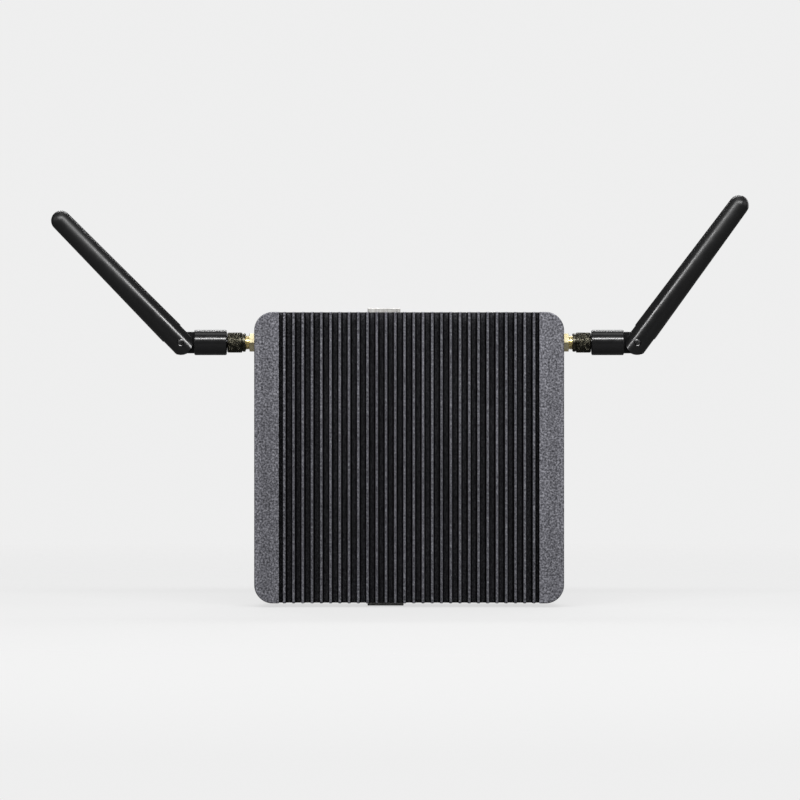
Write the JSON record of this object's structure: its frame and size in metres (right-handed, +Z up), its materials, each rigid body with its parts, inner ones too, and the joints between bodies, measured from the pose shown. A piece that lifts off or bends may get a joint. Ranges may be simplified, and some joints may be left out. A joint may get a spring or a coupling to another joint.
{
  "type": "mini pc",
  "caption": "Fanless mini PC with a finned black aluminium cover and two folding Wi-Fi aerials, hung by keyholes on a pressed steel VESA bracket.",
  "frame": {"origin": "middle of the bracket's 100 mm hole pattern, on the plane where the bracket meets the monitor or wall", "axes": "+X to the right seen from the finned side, +Z up to the rear sockets, +Y into the monitor or wall; the fins face -Y"},
  "size_m": [0.3045, 0.0505, 0.1788],
  "materials": {
    "anodised_aluminium": "bead-blasted and anodised dark grey, grainy satin",
    "painted_steel": "glossy black powder coat",
    "black_panel": "satin black",
    "zinc_steel": "bright zinc",
    "black_steel": "black oxide",
    "nickel_shell": "bright nickel plate",
    "socket_plastic": "moulded black",
    "gold_plate": "bright gold plate",
    "dark_nickel": "black nickel plate",
    "aerial_plastic": "satin moulded black",
    "circuit_board": "solder mask",
    "chip_epoxy": "moulded epoxy",
    "copper_block": "machined copper",
    "foot_rubber": "matt",
    "light_lens": "clear",
    "cable_jacket": "smooth"
  },
  "bodies": {
    "bracket": {"vesa_bracket": "painted_steel", "vesa_screw_1": "zinc_steel", "vesa_screw_2": "zinc_steel", "vesa_screw_3": "zinc_steel", "vesa_screw_4": "zinc_steel"},
    "case": {"heatsink_cover": "anodised_aluminium", "base_plate": "black_panel", "rear_panel": "black_panel", "front_panel": "black_panel", "hanger_stud_1": "zinc_steel", "hanger_stud_2": "zinc_steel", "hanger_stud_3": "zinc_steel", "hanger_stud_4": "zinc_steel", "board_screw_1": "zinc_steel", "board_screw_2": "zinc_steel", "board_screw_3": "zinc_steel", "board_screw_4": "zinc_steel", "base_screw_1": "black_steel", "base_screw_2": "black_steel", "base_screw_3": "black_steel", "base_screw_4": "black_steel", "rear_panel_screw_1": "black_steel", "rear_panel_screw_2": "black_steel", "front_panel_screw_1": "black_steel", "front_panel_screw_2": "black_steel", "hdmi_port": "nickel_shell", "lan_port_1": "nickel_shell", "lan_port_2": "nickel_shell", "usb_stack_rear": "nickel_shell", "usb_stack_front": "nickel_shell", "clock_battery": "nickel_shell", "dc_jack": "socket_plastic", "memory_socket": "socket_plastic", "power_switch": "socket_plastic", "antenna_jack_left": "gold_plate", "antenna_jack_right": "gold_plate", "jack_nut_left": "gold_plate", "jack_nut_right": "gold_plate", "mainboard": "circuit_board", "memory_module": "circuit_board", "ssd_module": "circuit_board", "wifi_card": "circuit_board", "processor": "chip_epoxy", "thermal_block": "copper_block", "foot_1": "foot_rubber", "foot_2": "foot_rubber", "foot_3": "foot_rubber", "foot_4": "foot_rubber", "status_light": "light_lens", "rf_cable_left": "cable_jacket", "rf_cable_right": "cable_jacket"},
    "button": {"power_button": "anodised_aluminium"},
    "left_nut": {"coupling_nut_left": "dark_nickel"},
    "left_base": {"antenna_base_left": "aerial_plastic", "hinge_pin_left": "black_steel"},
    "left_rod": {"antenna_rod_left": "aerial_plastic"},
    "right_nut": {"coupling_nut_right": "dark_nickel"},
    "right_base": {"antenna_base_right": "aerial_plastic", "hinge_pin_right": "black_steel"},
    "right_rod": {"antenna_rod_right": "aerial_plastic"}
  },
  "joints": [
    {"name": "case_lift", "type": "slide", "parent": "bracket", "child": "case", "axis": [0, 0, 1], "range_m": [0, 0.007]},
    {"name": "button_press", "type": "slide", "parent": "case", "child": "button", "axis": [0, 0, 1], "range_m": [0, 0.0008], "stiffness_N_per_m": 600},
    {"name": "left_nut_turn", "type": "hinge", "parent": "case", "child": "left_nut", "pos_m": [-0.0753, -0.0225, 0.05], "axis": [1, 0, 0], "continuous": true},
    {"name": "left_swivel", "type": "hinge", "parent": "case", "child": "left_base", "pos_m": [-0.0996, -0.0225, 0.05], "axis": [1, 0, 0], "continuous": true},
    {"name": "left_tilt", "type": "hinge", "parent": "left_base", "child": "left_rod", "pos_m": [-0.0996, -0.0225, 0.05], "axis": [0, 1, 0], "range_deg": [-45.5, 44.5]},
    {"name": "right_nut_turn", "type": "hinge", "parent": "case", "child": "right_nut", "pos_m": [0.0753, -0.0225, 0.05], "axis": [1, 0, 0], "continuous": true},
    {"name": "right_swivel", "type": "hinge", "parent": "case", "child": "right_base", "pos_m": [0.0996, -0.0225, 0.05], "axis": [1, 0, 0], "continuous": true},
    {"name": "right_tilt", "type": "hinge", "parent": "right_base", "child": "right_rod", "pos_m": [0.0996, -0.0225, 0.05], "axis": [0, -1, 0], "range_deg": [-53.5, 36.5]}
  ]
}
